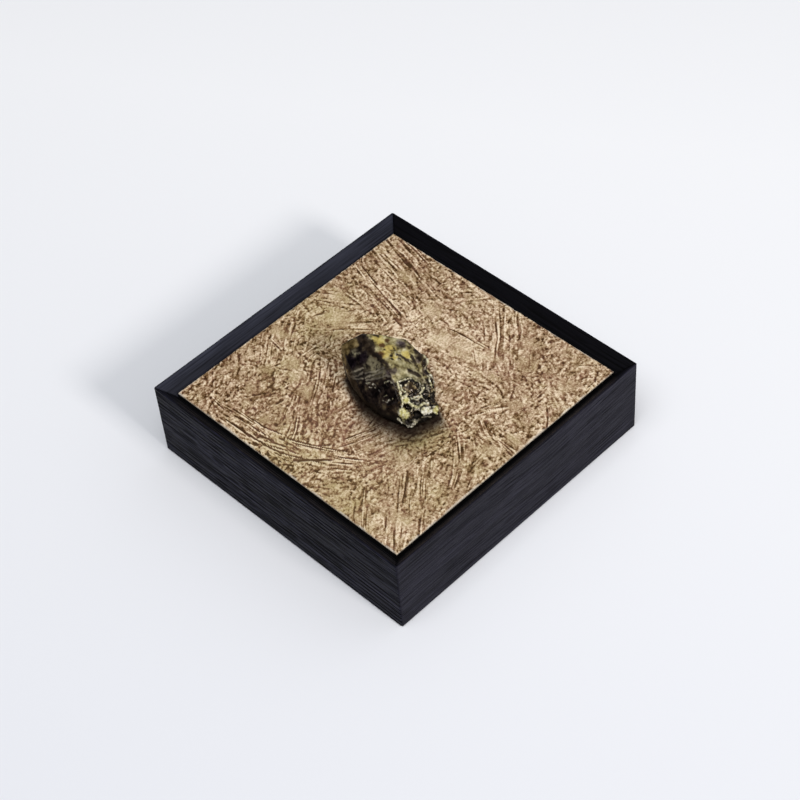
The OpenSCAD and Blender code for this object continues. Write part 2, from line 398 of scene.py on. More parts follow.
# Each wall's turn about the box, seed, strength of its arched figure, openness of its pores, how streaky
# its outside is, and how light it is painted outside, on the bevel and at the bevel's foot: painted light and
# shade for how each part faces the lamps, with painted shade at the foot of the near bevels
for values in (
    ("wall_front", 0, 11, 1.0, 0.45, 0.95, 2.02, 1.6, 0.2, stain),
    ("wall_right", 90, 23, 0.3, 0.7, 1.2, 1.0, 0.45, 0.4, stain),
    ("wall_back", 180, 37, 0.6, 0.15, 1.0, 1.2, 4.3, 2.9, cool_stain),
    ("wall_left", 270, 53, 0.0, 1.0, 4.0, 1.55, 0.9, 0.2, blue_stain),
):
    wall(*values)

# The lid's facing: plaster that was trowelled and rubbed with a gold glaze

# Each stroke: middle x, y, direction in degrees, length, width, bend, pitch of its lines, depth.
# FIRST_STROKES lie lowest, the loose ones on them, and STROKES on top.
FIRST_STROKES = [
    (-60, 72, 45, 60, 40, 0, 2, 0.12), (-58, 8, 28, 60, 50, 0.002, 1.9, 0.1),
    (45, -62, 62, 60, 46, 0, 2.2, 0.1), (-36, -36, -20, 50, 30, 0.001, 1.8, 0.14),
    (76, 8, 84, 60, 34, 0, 2.1, 0.14), (30, 78, -58, 44, 34, 0.001, 1.9, 0.14),
    (34, -10, -80, 80, 30, 0, 2.4, 0.1), (-24, 70, 40, 44, 30, 0.002, 1.8, 0.14),
]
STROKES = [
    (-72, 78, 24, 44, 30, 0, 1.8, 0.1), (60, 62, 74, 62, 48, 0, 2.5, 0.3), (80, 66, 76, 54, 18, 0, 2.2, 0.34),
    (45, 56, 76, 58, 14, 0, 2.4, 0.42), (15, 58, -46, 38, 24, 0, 2.6, 0.2),
    (-82, 32, -85, 66, 16, 0.0022, 1.8, 0.8), (-74, -2, -66, 66, 20, 0.003, 1.9, 0.95),
    (-72, 52, -87, 26, 18, 0, 2, 0.22), (-33, 34, 36, 44, 26, 0.001, 2.1, 0.22),
    (-62, -72, 41, 70, 30, -0.001, 1.7, 0.24), (-82, -54, 42, 34, 14, 0, 1.8, 0.2),
    (-84, -30, -58, 28, 12, 0, 2, 0.26), (-40, -17, -19, 36, 9, 0.001, 1.9, 0.3),
    (-22, -48, -13, 54, 13, -0.001, 2, 0.24), (-20, -72, 38, 44, 18, 0.004, 2.2, 0.3),
    (-16, -57, -9, 36, 4, -0.004, 1.9, 0.42), (22, -60, -32, 26, 3, 0, 2, 0.5),
    (70, -24, 42, 56, 32, 0, 2.3, 0.26), (54, -4, -85, 46, 8, 0, 2.2, 0.34),
    (8, -79, 86, 22, 14, 0, 2.1, 0.24), (75, -86, 3, 11, 3, 0, 1.5, 0.6), (84, -78, -48, 20, 5, 0, 2, 0.4),
    (-54, -60, 37, 24, 2, 0, 1.9, 0.42), (-57, -48, 41, 20, 3, 0.001, 1.8, 0.16),
    (11, -79, 87, 24, 2.5, 0, 2, 0.45), (50, -16, -80, 22, 2.5, 0, 2, 0.45),
    (20, -59, -32, 26, 2.5, 0, 2, 0.5), (44, 44, 76, 20, 6, 0, 1.9, 0.45), (53, 76, 72, 26, 4, 0, 2, 0.45),
    (70, 72, 78, 26, 6, 0, 2, 0.4), (32, 66, 86, 34, 2.5, 0.001, 1.8, 0.5), (-24, -43, -31, 34, 7, 0, 2, 0.3),
    (-74, -6, -48, 30, 4, 0, 2, 0.5), (-63, -3, -50, 16, 2.5, 0, 2, 0.4),
]
# Broad patches of the glaze: x, y, radius, paleness, redness, greenness
PATCHES = [
    (38, 4, 28, 0.12, 0, 0), (-74, 52, 32, -0.08, 0, 0), (64, 62, 34, 0.03, 0.1, 0.1),
    (8, 66, 28, 0.1, 0, 1.1), (-50, 10, 34, -0.03, 0.7, 0), (-60, -62, 34, 0.05, 0.2, 0.3),
    (-34, -37, 6, 0, 0, 1.6), (-25, -42, 7, -0.08, 0, 1.8), (-14, -48, 7, -0.08, 0, 1.8),
    (-41, -46, 6, 0.1, 0, 0.1), (-52, -38, 9, -0.06, 0.8, 0), (-4, -76, 6, 0.12, 0, 0),
    (-50, -78, 12, 0.05, 0, 0.8), (-60, 84, 22, -0.09, 0, 0), (-84, 62, 14, -0.08, 0, 0),
    (-44, 52, 18, 0.09, 0, 0.2), (37, 37, 15, -0.1, 0, 0), (72, 2, 16, -0.07, 0, 0),
    (-60, -32, 14, -0.1, 0, 0), (40, -20, 12, 0.06, 0, 0), (-82, 8, 24, -0.02, 0, 1.5),
    (-40, 58, 22, 0.01, 0, 0.4), (-84, -42, 20, 0.02, 0, 1.3), (60, -66, 30, 0, 0.3, 0.1),
    (0, -82, 26, 0.05, 0, 0.3), (52, -26, 22, 0.06, 0.3, 0), (-20, -70, 20, 0.02, 0, 0.5),
    (-43, 64, 13, 0.07, 0, 0), (17, 57, 18, 0.09, 0, 0), (83, 18, 14, 0.08, 0, 0), (84, -58, 14, 0.1, 0, 0),
    (78, -34, 13, -0.09, 0, 0), (23, -33, 15, -0.06, 0, 0), (4, -41, 9, 0.12, 0, 0),
]
# Places where the glaze has more or less contrast: x, y, radius, change
LIVELY = [
    (-76, 8, 28, 0.36), (-62, -75, 26, -0.34), (-56, 80, 12, -0.18), (84, 4, 60, -0.24), (80, -66, 16, -0.2),
    (12, -34, 12, -0.32), (82, 84, 18, -0.14), (-34, 45, 20, 0.2),
]
# Places that the rubbing left smooth and pale gold: x, y, radius
FLATS = [
    (-29, 57, 6), (-37, 48, 5), (-40, 33, 6), (-45, 65, 5), (-60, 61, 4), (45, -11, 8), (52, -27, 5),
    (59, -50, 6), (40, -42, 3), (12, -82, 5), (64, -78, 6), (67, 58, 5), (15, 64, 8), (43, 4, 8), (57, 23, 6),
    (-41, -45, 6), (-4, -76, 5), (-46, -24, 4), (-72, -74, 5), (28, 74, 5), (-16, 80, 6), (-70, 36, 4),
    (74, -40, 5), (32, -64, 5),
]
FACING_CELLS = 310
FACING_ROUND = 0.9
# Blurs that reach so many cells part the relief into bands. The glaze has this contrast in each band and,
# last, in its own broad drift.
BLURS = (1, 3, 7, 14)
CONTRAST = (0.205, 0.158, 0.056, 0.038, 0.06)
# Painted shadow round the stone's foot, a dark colour in place of its shade: its least and most reach, the
# bearing in degrees where it reaches furthest, the bearings between which it ends, and how high the foot is
FOOT_SHADOW_REACH = (2.2, 12.5)
FOOT_SHADOW_TOWARDS = 44
FOOT_SHADOW_END = (102, 88)
FOOT_SHADOW_HEIGHT = 9
# Millimetres below the face at which its worn edge ends, and how much paler all of the glaze is
EDGE_DROP = 0.75
PALER = 0.012
# How many loose strokes, and the ranges that their values are drawn from
LOOSE_STROKES = 120
LOOSE = ((-88, 88), (-88, 88), (-90, 90), (10, 36), (1.5, 7), (-0.006, 0.006), (1.4, 2.3), (0.1, 0.3))


def blurred(values, reach):
    """Mean over a square of cells that reaches so many cells each way."""
    size = 2 * reach + 1
    total = np.pad(np.pad(values, reach, mode="edge").cumsum(0).cumsum(1), ((1, 0), (1, 0)))
    corners = total[size:, size:] - total[:-size, size:] - total[size:, :-size] + total[:-size, :-size]
    return corners / size**2


def bell(x, y, cx, cy, radius):
    """1 at a place, fading evenly around it."""
    return np.exp(-((x - cx) ** 2 + (y - cy) ** 2) / radius**2)


def add_stroke(x, y, stroke, seed, height, lined, flow):
    """Draws one trowel stroke over the relief, with ragged ends and lines that come and go."""
    cx, cy, angle, length, width, bend, pitch, depth = stroke
    a = math.radians(angle)
    near = np.hypot(x - cx, y - cy) < 0.62 * math.hypot(length, width)
    dx, dy = x[near] - cx, y[near] - cy
    s = dx * math.cos(a) + dy * math.sin(a)
    t = dy * math.cos(a) - dx * math.sin(a) - bend * s * s
    t = t + 0.55 * pitch * fbm(seed, s / 16, t / 7, octaves=2)
    edge = np.maximum(np.abs(s) / (length / 2), np.abs(t) / (width / 2))
    inside = 1 - smooth(0.62, 1.04, edge + 0.42 * fbm(seed + 1, s / 8, t / 3, octaves=2))
    groove, ridge = (smooth(0.1, 0.5, noise(seed + 2, s / 32, 2.4 * t / pitch + k)) for k in (0, 0.8))
    lines = 0.55 * ridge - 1.3 * groove + 0.25 * noise(seed + 3, s / 8, 4.1 * t / pitch)
    broken = 0.25 + 0.75 * smooth(-0.4, 0.4, fbm(seed + 4, s / 14, t / 3.5, octaves=2))
    height[near] = height[near] * (1 - 0.5 * inside) + inside * broken * depth * lines
    lined[near] = np.maximum(lined[near] * (1 - inside), inside * broken)
    here = np.flatnonzero(near.ravel())[inside > 0.45]
    flow.reshape(-1, 3)[here] = np.stack([s / 9 + seed, t / pitch, 0 * t + seed], -1)[inside > 0.45]


def facing_relief(x, y):
    """Height of the plaster, the direction of its lines, and how flat it was rubbed."""
    rng = np.random.default_rng(4)
    loose = [tuple(rng.uniform(*ends) for ends in LOOSE) for _ in range(LOOSE_STROKES)]
    warp_x, warp_y = (1.3 * fbm(s, x / 3.2, y / 3.2, octaves=2) for s in (5, 6))
    height = 0.13 * fbm(3, x / 8, y / 8) + 0.07 * fbm(9, (x + warp_x) / 2.6, (y + warp_y) / 2.6)
    lined = np.zeros(x.shape)
    flow = np.stack([x / 6, y / 1.8, 0 * x], -1)
    for k, stroke in enumerate(FIRST_STROKES + loose + STROKES):
        add_stroke(x, y, stroke, 60 + 10 * k, height, lined, flow)
    crumbly = smooth(-0.6, 0.4, fbm(21, x / 14, y / 14)) * (1 - 0.35 * lined)
    crumb = fbm(31, (x + warp_x) / 1.25, (y + warp_y) / 1.25, octaves=2)
    pits = smooth(0.25, 0.65, noise(41, x + warp_y, y + warp_x))
    worms = smooth(0.6, 0.95, 1 - np.abs(noise(51, (x + 2 * warp_x) / 2.9, (y + 2 * warp_y) / 2.9)))
    marks = fbm(61, 2.0 * flow[..., 0], 1.25 * flow[..., 1], flow[..., 2], octaves=2)
    height = height + 0.12 * marks - 0.12 * smooth(0.1, 0.6, -marks)
    height = height + (0.4 + 0.6 * crumbly) * (0.17 * crumb - 0.26 * pits + 0.03 * worms)
    flat = np.zeros(x.shape)
    for cx, cy, radius in FLATS:
        d = np.hypot(x + 2 * warp_x - cx, 0.8 * (y + 2 * warp_y - cy)) / radius
        flat = np.maximum(flat, 1 - smooth(0.45, 1.25, d))
    height = height - 0.75 * flat * (height - blurred(height, 5))
    return height, flow, flat


def facing_tone(height, x, y):
    """Lightness of the rubbed glaze, about 0 to 1: worn pale on what stands up and dark in the hollows."""
    tone = np.full(height.shape, 0.5)
    rest = height
    for reach, contrast in zip(BLURS, CONTRAST):
        soft = blurred(rest, reach)
        band = rest - soft
        tone += contrast * band / band.std()
        rest = soft
    lively = 1 + sum(change * bell(x, y, cx, cy, radius) for cx, cy, radius, change in LIVELY)
    broad = fbm(71, x / 26, y / 26)
    return 0.5 + (tone - 0.5) * lively + CONTRAST[-1] * broad / broad.std()


def glaze_hues(x, y, flat):
    """How much paler, redder and greener the glaze is than its tone says."""
    pale, red, green = 0.09 * flat, 0 * flat, 0.35 * flat
    uneven = 1 + 0.5 * fbm(91, x / 7, y / 7)
    for cx, cy, radius, paler, redder, greener in PATCHES:
        near = bell(x, y, cx, cy, radius) * uneven
        pale, red, green = pale + paler * near, red + redder * near, green + greener * near
    hue = fbm(95, x / 6, y / 6) + 0.6 * noise(98, x / 2.2, y / 2.2)
    return pale, red + np.maximum(hue, 0), green + 0.8 * np.maximum(-hue, 0)


def painted_foot_shadow(x, y):
    """Painted shadow round the foot of the stone, deepest below its overhanging left flank and low end."""
    node = frame["nodes"]["knob_stone"]
    stone_low, stone_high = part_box("knob_stone")
    foot = [v.co.xy / MM for v in node.data.vertices if v.co.z < stone_low.z + FOOT_SHADOW_HEIGHT * MM]
    outline = [foot[k] for k in convex_hull_2d(foot)]
    away = np.full(x.shape, -np.inf)
    for a, b in zip(outline, outline[1:] + outline[:1]):
        along = (b - a).normalized()
        away = np.maximum(away, (x - a.x) * along.y - (y - a.y) * along.x)
    middle = (stone_low + stone_high) / 2 / MM
    bearing = np.arctan2(middle.y - y, middle.x - x)
    spread = np.maximum(np.cos(bearing - math.radians(FOOT_SHADOW_TOWARDS)), 0) ** 1.6
    spread = spread * smooth(*FOOT_SHADOW_END, np.degrees(bearing))
    least, most = FOOT_SHADOW_REACH
    reach = (least + (most - least) * spread) * (1 + 0.22 * fbm(81, x / 6, y / 6))
    return np.exp(-((np.maximum(away, 0) / reach) ** 2))


def lid_facing(material):
    """The plate of plaster: a fine grid for its face, and straight sides down to a flat underside."""
    size = FACING_CELLS + 1
    half = LID_SIDE / 2
    steps = np.linspace(-half, half, size)
    x, y = np.meshgrid(steps, steps)
    height, flow, flat = facing_relief(x, y)
    tone = facing_tone(height, x, y)
    low, high = np.percentile(height, (1, 99))
    rim = half - np.maximum(np.abs(x), np.abs(y))
    fall = FACING_ROUND * (1 - np.sqrt(1 - np.clip(1 - rim / FACING_ROUND, 0, 1) ** 2)) * 0.55
    z = LID_TOP + (np.clip(height, low, high) - 0.4 * high) - fall
    # The face's edge and its sides are painted paler: partly wear, partly a painted highlight of the edge
    worn_lit_edge = smooth(1.1, 0.3, rim) * smooth(-0.05, 0.4, noise(88, x / 7, y / 7))
    side = np.maximum(0.5 * smooth(0.5, 0.0, rim), worn_lit_edge)
    pale, red, green = glaze_hues(x, y, flat)

    top = np.stack([x, y, z], -1).reshape(-1, 3)
    index = np.arange(size * size).reshape(size, size)
    ring = np.concatenate([index[0, :-1], index[:-1, -1], index[-1, :0:-1], index[:0:-1, 0]])
    count = len(ring)
    levels = (LID_TOP - EDGE_DROP, FACING_Z)
    skirt = [np.column_stack([top[ring, :2], np.full(count, level)]) for level in levels]
    loops = np.vstack([ring, len(top) + np.arange(2 * count).reshape(2, count)])
    after = np.roll(loops, -1, 1)
    sides = np.stack([after[:-1], loops[:-1], loops[1:], after[1:]], -1).swapaxes(0, 1)
    faces = [*grid_faces(size, size).tolist(), *sides.reshape(-1, 4).tolist(), loops[-1, ::-1].tolist()]

    def skirted(values, fill):
        """Values of the face's points, and one value for all of the skirt's."""
        return np.concatenate([values.ravel(), np.full(2 * count, fill)])

    flow = flow.reshape(-1, 3)
    glaze = {
        "tone": skirted(tone + pale + PALER, 0.55), "red": skirted(red, 0), "green": skirted(green, 0),
        # The painted shadow round the stone's foot goes in with the glaze
        "foot_shadow": skirted(painted_foot_shadow(x, y), 0), "side": skirted(side, 1),
        "flow": np.concatenate([flow, flow[ring], flow[ring]]),
    }
    verts = np.concatenate([top, *skirt])
    piece("lid_facing", verts, faces, "lid", glaze, material)


def plaster_material():
    """Glaze that goes from brown to cream with its tone, tinted patch by patch."""
    m = Nodes("gilt_plaster")
    lines = m.noise(m.mapped(m.attribute("flow", "Vector"), (1.2, 2.6, 3.1)))
    specks = m.noise(m.coordinates(), 780.0, 3.0, 0.65, 0.5)
    tone = m.attribute("tone")
    for source, amount in ((lines, 0.3), (specks, 1.6)):
        tone = m.math("ADD", tone, m.math("MULTIPLY", m.math("SUBTRACT", source, 0.5), amount))
    stops = [(56, 32, 8), (110, 80, 47), (156, 127, 97), (202, 176, 145), (246, 226, 197)]
    colour = m.ramp(tone, {k / 4: stop for k, stop in enumerate(stops)})
    red = m.math("MULTIPLY", m.attribute("red"), m.ramp(tone, {0.25: 0.24, 0.75: 0.12}), True)
    green = m.math("MULTIPLY", m.attribute("green"), m.ramp(tone, {0.25: 0.06, 0.65: 0.3}), True)
    # The edge and sides are painted pale: partly wear, partly a painted highlight
    side = m.math("MULTIPLY", m.attribute("side"), 0.75)
    # Painted shadow: the facing is painted near black round the stone's foot
    foot_shadow = m.math("MULTIPLY", m.attribute("foot_shadow"), 0.96, True)
    tints = ((red, (172, 122, 106)), (green, (172, 157, 102)), (side, (214, 205, 190)), (foot_shadow, (20, 11, 8)))
    for amount, tint in tints:
        colour = m.mix(amount, colour, tint)
    m.feed(
        Base_Color=colour, Roughness=m.ramp(tone, {0.3: 0.65, 0.8: 0.42}),
        Normal=m.bump(m.weighed((lines, 0.6), (specks, 0.8)), 0.7, 0.25),
        Specular_IOR_Level=0.16, Specular_Tint=(1.0, 0.88, 0.76, 1.0),
    )
    return m.block


lid_facing(plaster_material())

# The stone: a tumbled nugget, polished on top, with pale-rimmed hollows and lumps at its low end

STONE_VOXEL = 0.34
# Heights above the stone's foot between which its surface comes free of the solid's
FREE = (0.4, 2.4)
STONE_FOOT, STONE_TOP = (corner.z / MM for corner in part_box("knob_stone"))
# Round forms of the surface: x, y, z, radius, and how far the middle swells or, below 0, sinks
FORMS = [
    (-9, -23, 67, 5, 0.6), (-17, -28, 61.5, 2.6, -1.6), (-21, -29, 59.5, 2.4, 0.5), (-10.5, -36, 58, 3, 0.6),
    (-14, -32.5, 56, 3.4, -1.8), (-21.5, -32, 56.5, 2, -0.9), (-5.5, -39, 55, 2.2, 0.5),
    (-3.5, -29, 60.5, 2.6, -1.2), (9.5, -18, 63.5, 3.4, -1.8), (5, -24.5, 62, 1.6, 0.6),
    (-5, -23.5, 66, 1.3, -0.7), (2, -31.5, 56.5, 3.6, -0.9), (-20.5, -1, 64, 2.6, 0.5),
    (-16, -12, 70, 2.2, 0.4), (-20, -10, 65, 2.4, -0.5), (-21.5, -18, 61, 2.6, 0.5),
    (13.5, -12, 65, 4.5, 1.5), (-5.5, -35.5, 59, 1.5, -0.5),
]
# Thin cream rims: the points that each runs through, half its width, and how pale it is
RIMS = [
    # Left of the big eye, and on round the lowest hollow
    ([(-12.7, -16.4, 70.7), (-14.8, -19.8, 69.2), (-16.6, -23.2, 66.6), (-19, -26, 63.5), (-21, -26.5, 61),
      (-22.5, -27, 58)], 0.42, 1),
    ([(-22.5, -27, 58), (-23, -31, 54.5), (-22, -33, 52.5), (-19.5, -35, 51.5),
      (-17.5, -35.5, 53.5)], 0.62, 0.72),
    # Over the big eye and down its right
    ([(-12.5, -16.6, 70.6), (-9.8, -17.2, 69.7), (-5.3, -19, 69.3), (-2, -22, 67),
      (-2.6, -25.5, 64)], 0.34, 0.85),
    # Inside the big eye
    ([(-12.5, -18.5, 69), (-13.8, -20.5, 67.8), (-13, -22.5, 67)], 0.46, 1),
    ([(-3, -24.5, 65), (-6.5, -26, 64)], 0.3, 0.45), ([(-0.8, -25.5, 62.5), (-5, -27, 62.5)], 0.4, 1),
    ([(-10.5, -27, 63.3), (-7.5, -27.5, 62.5), (-6.5, -29, 61.5)], 0.48, 1),
    # Below the eye and on to the tip
    ([(-16, -25.5, 64.5), (-14.5, -28, 62.5), (-13.5, -30.5, 60.5), (-12.5, -32.3, 60.3)], 0.5, 1),
    ([(-12.5, -32.3, 60.3), (-9.5, -33, 61.5), (-7, -34, 61)], 0.62, 1),
    ([(-4.2, -37, 57), (-3.5, -38.5, 54.5)], 0.5, 1), ([(-17, -30.5, 59.5), (-15, -30, 60)], 0.3, 0.7),
    ([(-18, -25.5, 64.5), (-14.5, -27.5, 63), (-14.5, -29.5, 61)], 0.45, 0.9),
    ([(-14.5, -24, 65.5), (-16.5, -25.5, 64.5), (-15, -26.5, 63.5)], 0.95, 0.95),
    ([(-23, -26, 55), (-23, -30, 53.5), (-21, -34, 52)], 0.6, 0.9),
    ([(-12.5, -26, 64), (-9.5, -29, 62), (-4.5, -28, 61.5)], 0.36, 0.8),
    ([(-13.5, -35, 55), (-9, -38, 54)], 0.34, 0.6), ([(-19.5, -34, 56), (-17.5, -35, 53.5)], 0.28, 0.6),
    # Round a yellow spot
    ([(-1, -3, 73), (2, -0.5, 73), (4.5, -2, 72.5)], 0.36, 0.45),
    # Right-hand edge, with painted glints along its outline
    ([(7, -21, 62.5), (5, -24.5, 62.5), (5, -26, 60.5)], 0.34, 0.9),
    ([(13.5, -13, 65), (12.5, -16, 63.5)], 0.8, 1),
    ([(10, -21, 61.5), (9, -22.5, 61.3), (8, -24, 60)], 0.6, 1),
    ([(4, -25.5, 60.5), (3, -26.5, 60)], 0.45, 0.9),
]
# Painted glints: faint broken highlight arcs on the dark flank
GLINTS = [
    ([(-20.5, 2, 63.5), (-20, -2.5, 65), (-19.5, -5.5, 65), (-21, -6, 63.5)], 0.36, 0.75),
    ([(-17, -10, 69), (-15.5, -12, 70.5), (-15.5, -14.5, 71)], 0.32, 0.65),
    ([(-22.5, -14, 62), (-22, -17, 62.5), (-20.5, -19.5, 65)], 0.4, 0.8),
    ([(-21.5, -13.5, 63.5), (-20, -16, 65.5)], 0.3, 0.65), ([(-21.5, -1, 62.5), (-21, -4.5, 63.5)], 0.3, 0.6),
    ([(-13.5, 19.5, 71), (-13, 16, 71), (-12, 14.5, 72.5)], 0.55, 0.4),
]
# Olive-grey veins
VEINS = [
    ([(-12, -15.5, 71), (-9.5, -15.5, 70.5), (-4, -16.5, 69), (-1.5, -19.5, 67.5),
      (0.5, -23, 63.5)], 1.9, 0.9),
    ([(-0.5, -6, 72.5), (-0.5, -9.5, 71), (0.5, -13, 69.5), (3.5, -16, 66.5), (4.5, -19, 64.5),
      (2.5, -24.5, 62.5)], 0.62, 0.85),
    ([(4.5, -9.5, 70), (4, -12.5, 68.5), (5, -15, 66.5)], 0.42, 0.75),
    ([(-3, -13, 70), (-6, -12, 71.3), (-9, -13, 71.8)], 1.6, 0.8),
    ([(-2, -8.5, 72), (0, -11.3, 70.5), (2.5, -12.8, 69.3)], 1.8, 1),
]
# Olive-black streaks of the top
STREAKS = [
    ([(2, -4.5, 72.5), (3, -8, 71), (4.5, -11, 69.2)], 1.1, 1),
    ([(-0.5, -14, 69), (1.5, -16, 67), (3, -18, 65)], 2, 1),
    ([(8, -7.5, 69.5), (7.5, -9.5, 69), (6.5, -11.5, 68)], 1.1, 1),
    ([(13.5, -6.5, 68), (13, -9.5, 67.5), (11, -10.5, 67.8)], 1.8, 1),
    ([(12.5, -13, 64), (9.7, -16.5, 64.5), (8.3, -19, 63.5)], 2.1, 1),
    ([(-4.5, 20, 75.8), (-5.2, 13, 75.8), (-8, 8.5, 75.2)], 2.2, 1),
    ([(-8.7, 8.3, 75), (-8.5, 2.5, 75.2), (-9, -3.5, 74.2), (-9.8, -6, 73.8)], 1.5, 1),
]
# Black line just inside the big eye's rim
EYE_RING = [
    (-13, -19.5, 69), (-9.5, -18.5, 69), (-5.5, -20.5, 69), (-3, -23.5, 66), (-4.5, -26, 64),
    (-10, -25.5, 64),
]
# Wavy grey stripes of the left flank
STRIPES = [
    [(-18, 22.5, 54), (-19, 12.5, 64.5), (-16.5, 8, 68)], [(-21, 14, 60), (-20, 9.5, 63.5), (-18, 6.5, 66)],
    [(-17.5, 4.5, 67), (-15.5, 0, 70), (-12, -5, 73.5)], [(-19, 3.5, 65), (-16, -1.5, 69), (-13.5, -6, 72.5)],
    [(-20, 2.5, 64.5), (-17, -3.5, 68), (-14.5, -9, 72), (-13, -12, 72.2)],
    [(-20, 18, 58.5), (-21.3, 9.5, 61.5), (-20.3, 5, 64.2)],
]
# Round places: x, y, z and radius. On the top:
PALE_TOP = [(-9, -11, 72.3, 3), (-11.5, -14, 71.3, 2.4)]
YELLOW = [
    (0.5, 12, 75, 4.2), (1, 2.5, 74, 3.6), (6, -5.5, 71, 2.8), (-1.5, -3, 73, 2.2), (-4.5, 1.5, 74.8, 2.8),
]
DARK_SPOTS = [
    (-4.5, 20, 75.8, 3.4), (9.5, 2, 72.5, 1.5), (-2, -1.5, 73.5, 1.1), (1.2, -2.8, 73, 1),
    (-0.5, -6, 72.5, 1.3), (-3.5, -3.5, 73.6, 1), (7.5, -8.5, 69.5, 1.1), (12.5, -13.5, 66, 1.4),
]
RUST_SPOTS = [(-0.5, 7.5, 75, 1.7), (-7, 3.5, 75, 2.6), (4.5, 8.5, 74.5, 1.5), (10.5, -14, 65.5, 1.3)]
VIOLET = [(-11, -9.5, 73.3, 2.6), (-9, -11, 73, 2.6), (9, 2, 72.5, 3.2), (9, -11.5, 67.5, 1.8)]
# On the left flank: mottled olive, the facet at the high end, what is nearly black, and behind the stripes
MOTTLED = [(-13, 18.5, 71, 2.2), (-12.5, 4, 73, 5.8), (-14, -3, 72, 5), (-10, 0, 74.3, 3.4)]
OLIVE_FACET = [(-12.5, 26.5, 70.5, 5.4), (-9.5, 22, 73, 3.6), (-17, 24, 64, 3.4), (-20, 17.5, 59.5, 2.8)]
NIGHT = [(-17, 17.5, 66.3, 3.4), (-12.8, 11, 71.8, 3.2)]
STRIPE_BED = [(-13, 18.5, 71, 3), (-19, 10, 63.5, 4.8), (-17, 2, 68, 4.4), (-14, -5, 72, 3.4)]
# At the low end: lumps, the big eye, and pale pebbly crust between the hollows
YELLOW_LUMPS = [
    (-15.5, -25.5, 64.5, 1.6), (-21, -29, 59.5, 3.2), (-22.5, -27.5, 58, 1.5), (-3.8, -38.6, 55.8, 2.6),
]
# Near-white lumps: partly the stone's pale colour, partly a painted highlight
WHITE_LUMPS = [(-10.8, -35.8, 58.4, 2.8), (-8.5, -36.8, 56.5, 1.6)]
EYE_MIDDLE = [(-9, -22.5, 67.3, 3.3)]
# Cream dots in the big eye: partly pale flecks, partly painted highlights
EYE_DOTS = [(-7, -20, 69, 0.5), (-10, -20.5, 68.5, 0.7), (-6.5, -24, 66.5, 0.6), (-10, -23.5, 66.5, 0.5)]
PALE_CRUST = [
    (-12.5, -31.5, 60, 2.6), (-14, -29.5, 61.5, 1.6), (-6.5, -31.5, 61, 1.7), (-1, -27, 62, 3),
    (1.5, -30, 58.5, 1.6), (-18, -33.5, 54, 3.2), (-6.5, -36, 58, 2.4),
]
LOOSE_DOTS = 60
# Colours in sRGB, from the darkest parts of a cloudy noise to its palest
BLACK_FLANK = {0.26: (9, 7, 8), 0.44: (24, 19, 19), 0.6: (46, 38, 34), 0.76: (92, 81, 62)}
OLIVE = {0.32: (50, 40, 23), 0.55: (108, 91, 60), 0.75: (146, 128, 90)}
BED = {0.3: (42, 37, 34), 0.7: (84, 78, 66)}
MOTTLE = {0.28: (50, 45, 37), 0.44: (108, 100, 80), 0.6: (154, 146, 116), 0.76: (184, 176, 144)}
NIGHT_BLACK = {0.3: (16, 11, 16), 0.7: (62, 52, 58)}
STRIPE_GREY = {0.3: (96, 90, 80), 0.7: (164, 154, 134)}
STRIPE_SHADOW = (16, 13, 13)
TOP_OLIVE_LIT = {0.28: (58, 48, 29), 0.42: (124, 112, 73), 0.58: (170, 158, 114), 0.76: (208, 198, 160)}
GOLD = {0.3: (158, 136, 72), 0.6: (200, 179, 102), 0.8: (214, 199, 134)}
RUST = (62, 34, 16)
DARK = {0.3: (16, 13, 10), 0.7: (48, 40, 36)}
VIOLET_GREY = {0.35: (40, 32, 38), 0.65: (98, 86, 88)}
STREAK_BLACK = {0.3: (18, 12, 9), 0.7: (56, 46, 36)}
DOT_BROWN = (30, 24, 16)
VEIN_OLIVE = {0.3: (134, 125, 86), 0.55: (184, 174, 136), 0.8: (216, 206, 172)}
CRUST = {0.26: (12, 8, 5), 0.42: (60, 46, 30), 0.55: (118, 100, 70), 0.7: (176, 160, 124)}
CRACK_SHADE_BLACK = (5, 3, 3)
PEBBLE_WHITE = {0.3: (150, 142, 122), 0.7: (214, 208, 192)}
EYE_BROWN = {0.35: (44, 33, 22), 0.55: (94, 80, 54), 0.75: (158, 142, 110)}
RING_BLACK = (8, 5, 4)
HOLLOW_SHADE_BLACK = (8, 5, 5)
DOT_CREAM_HIGHLIGHT = (226, 214, 180)
CREAM = {0.3: (206, 198, 146), 0.55: (240, 234, 204), 0.8: (252, 250, 238)}
LUMP_YELLOW = {0.3: (184, 174, 100), 0.5: (222, 214, 156), 0.75: (250, 246, 220)}
LUMP_WHITE_HIGHLIGHT = {0.3: (206, 200, 160), 0.5: (242, 238, 212), 0.75: (254, 252, 244)}
FOOT_SHADE_BLACK = (6, 5, 4)


# Share of its squared depth that a point's distance from a line leaves out
DEPTH_LEFT_OUT = 0.92


def read(items, field, width, kind=float):
    """Values of a field of a mesh's points or edges, a row for each."""
    values = np.empty(len(items) * width, dtype=kind)
    items.foreach_get(field, values)
    return values.reshape(-1, width)


def remeshed(node, voxel):
    """Points in millimetres, normals, edges and faces of a node's solid, remeshed evenly."""
    work = placed("work", frame["nodes"][node].data.copy())
    modifier = work.modifiers.new("fine", "REMESH")
    modifier.mode, modifier.voxel_size = "VOXEL", voxel * MM
    mesh = bpy.data.meshes.new_from_object(work.evaluated_get(bpy.context.evaluated_depsgraph_get()))
    bpy.data.objects.remove(work)
    points, normals = (read(mesh.vertices, field, 3) for field in ("co", "normal"))
    edges = read(mesh.edges, "vertices", 2, np.int64)
    faces = [tuple(p.vertices) for p in mesh.polygons]
    bpy.data.meshes.remove(mesh)
    return points / MM, normals, edges, faces


